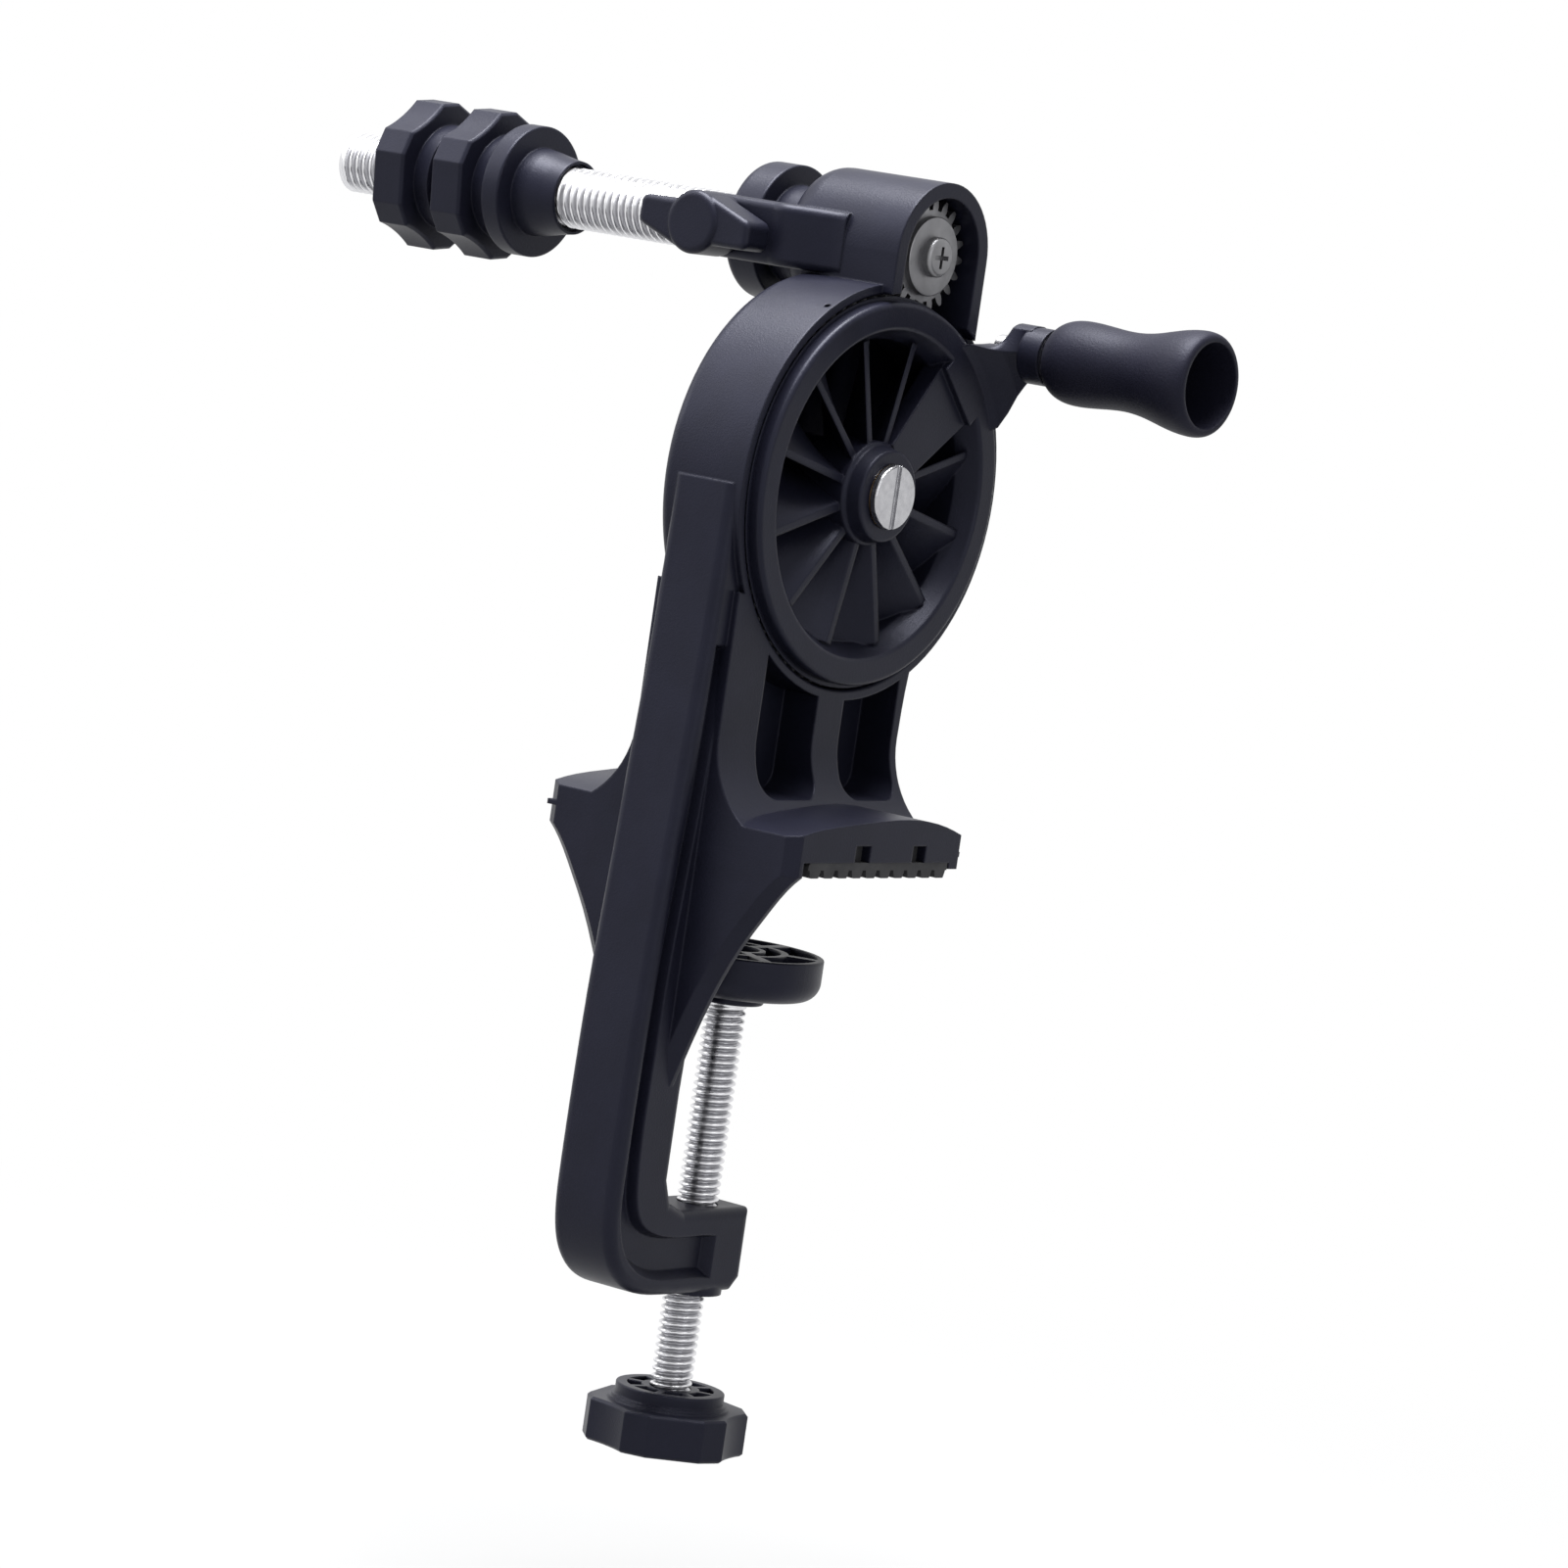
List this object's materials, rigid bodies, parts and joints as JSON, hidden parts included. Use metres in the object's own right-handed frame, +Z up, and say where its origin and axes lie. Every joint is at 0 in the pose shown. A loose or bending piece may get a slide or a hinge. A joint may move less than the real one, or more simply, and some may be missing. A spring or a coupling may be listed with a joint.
{
  "type": "fishing line winder",
  "caption": "Bench-clamped line winder: a geared hand crank turns a threaded spindle that holds a line spool between a brake disc and a cone with two hand nuts.",
  "frame": {"origin": "where the clamp screw's axis meets the plane of the upper jaw's teeth", "axes": "+X parallel to the crank axis towards the handle, +Y from the spine to the clamp's mouth, +Z up"},
  "size_m": [0.1986, 0.0866, 0.2465],
  "materials": {
    "black_moulding": "satin",
    "wheel_moulding": "satin",
    "grip_moulding": "matt",
    "spool_moulding": "matt",
    "knob_moulding": "matt",
    "gear_grey": "satin",
    "jaw_rubber": "matt",
    "shoe_rubber": "matt",
    "washer_nylon": "matt",
    "chrome": "polished",
    "turned_steel": "turned",
    "zinc_steel": "zinc plated",
    "pinion_steel": "sintered",
    "washer_steel": "dark plated",
    "bronze": "sintered"
  },
  "bodies": {
    "frame_body": {"frame": "black_moulding", "upper_jaw_pad": "jaw_rubber", "crank_axle": "turned_steel", "hub_screw": "chrome", "spindle_bush_front": "bronze", "spindle_bush_rear": "bronze", "drag_insert": "bronze", "clamp_insert": "bronze"},
    "crank": {"crank_wheel": "wheel_moulding", "crank_bush": "bronze", "drive_gear": "gear_grey", "gear_screws": "zinc_steel", "handle_pin": "turned_steel", "handle_washer": "zinc_steel", "handle_screw": "zinc_steel"},
    "grip": {"handle_grip": "grip_moulding"},
    "spindle": {"spindle_shaft": "chrome", "pinion_gear": "pinion_steel", "pinion_washer": "washer_steel", "pinion_screw": "zinc_steel", "spool_flange": "spool_moulding", "flange_pin": "turned_steel"},
    "cone": {"spool_cone": "spool_moulding"},
    "inner_nut": {"spool_nut_inner": "spool_moulding"},
    "lock_washer": {"nut_washer": "washer_nylon"},
    "outer_nut": {"spool_nut_outer": "spool_moulding"},
    "shoe": {"drag_shoe": "shoe_rubber"},
    "drag_knob_and_screw": {"drag_knob": "knob_moulding", "drag_screw": "turned_steel"},
    "pad": {"swivel_pad": "black_moulding"},
    "clamp_screw_and_knob": {"clamp_screw": "chrome", "clamp_knob": "knob_moulding", "pad_clip": "zinc_steel"}
  },
  "joints": [
    {"name": "crank_spin", "type": "hinge", "parent": "frame_body", "child": "crank", "pos_m": [0.011, 0.0104, 0.0701], "axis": [1, 0, 0], "continuous": true},
    {"name": "grip_spin", "type": "hinge", "parent": "crank", "child": "grip", "pos_m": [0.041, 0.04092, 0.09968], "axis": [1, 0, 0], "continuous": true},
    {"name": "spindle_spin", "type": "hinge", "parent": "frame_body", "child": "spindle", "pos_m": [-0.069, 0.019, 0.1158], "axis": [1, 0, 0], "continuous": true},
    {"name": "cone_slide", "type": "slide", "parent": "spindle", "child": "cone", "axis": [1, 0, 0], "range_m": [0, 0.0465]},
    {"name": "inner_nut_turn", "type": "hinge", "parent": "cone", "child": "inner_nut", "pos_m": [-0.094, 0.019, 0.1158], "axis": [1, 0, 0], "range_deg": [-0.05, 9565.76]},
    {"name": "outer_nut_slide", "type": "slide", "parent": "spindle", "child": "lock_washer", "axis": [1, 0, 0], "range_m": [-0.0115, 0]},
    {"name": "outer_nut_turn", "type": "hinge", "parent": "lock_washer", "child": "outer_nut", "pos_m": [-0.115, 0.019, 0.1158], "axis": [1, 0, 0], "range_deg": [-2365.76, 0.05]},
    {"name": "drag_shoe_slide", "type": "slide", "parent": "frame_body", "child": "shoe", "axis": [0, 1, 0], "range_m": [-0.0012, 0.0003]},
    {"name": "drag_knob_turn", "type": "hinge", "parent": "shoe", "child": "drag_knob_and_screw", "pos_m": [-0.0282, -0.0046, 0.1158], "axis": [0, 1, 0], "range_deg": [-432.05, 108.05]},
    {"name": "clamp_pad_slide", "type": "slide", "parent": "frame_body", "child": "pad", "axis": [0, 0, 1], "range_m": [-0.0385, 0.0176]},
    {"name": "clamp_screw_turn", "type": "hinge", "parent": "pad", "child": "clamp_screw_and_knob", "pos_m": [0, 0, -0.0599], "axis": [0, 0, 1], "range_deg": [-9240.05, 4224.05]}
  ],
  "couplings": [
    {"joint": "spindle_spin", "follows": "crank_spin", "ratio": -3.65},
    {"joint": "inner_nut_turn", "follows": "cone_slide", "rad_per_m": 3590.4},
    {"joint": "outer_nut_turn", "follows": "outer_nut_slide", "rad_per_m": 3590.4},
    {"joint": "drag_knob_turn", "follows": "drag_shoe_slide", "rad_per_m": 6283.2},
    {"joint": "clamp_screw_turn", "follows": "clamp_pad_slide", "rad_per_m": 4188.8}
  ]
}
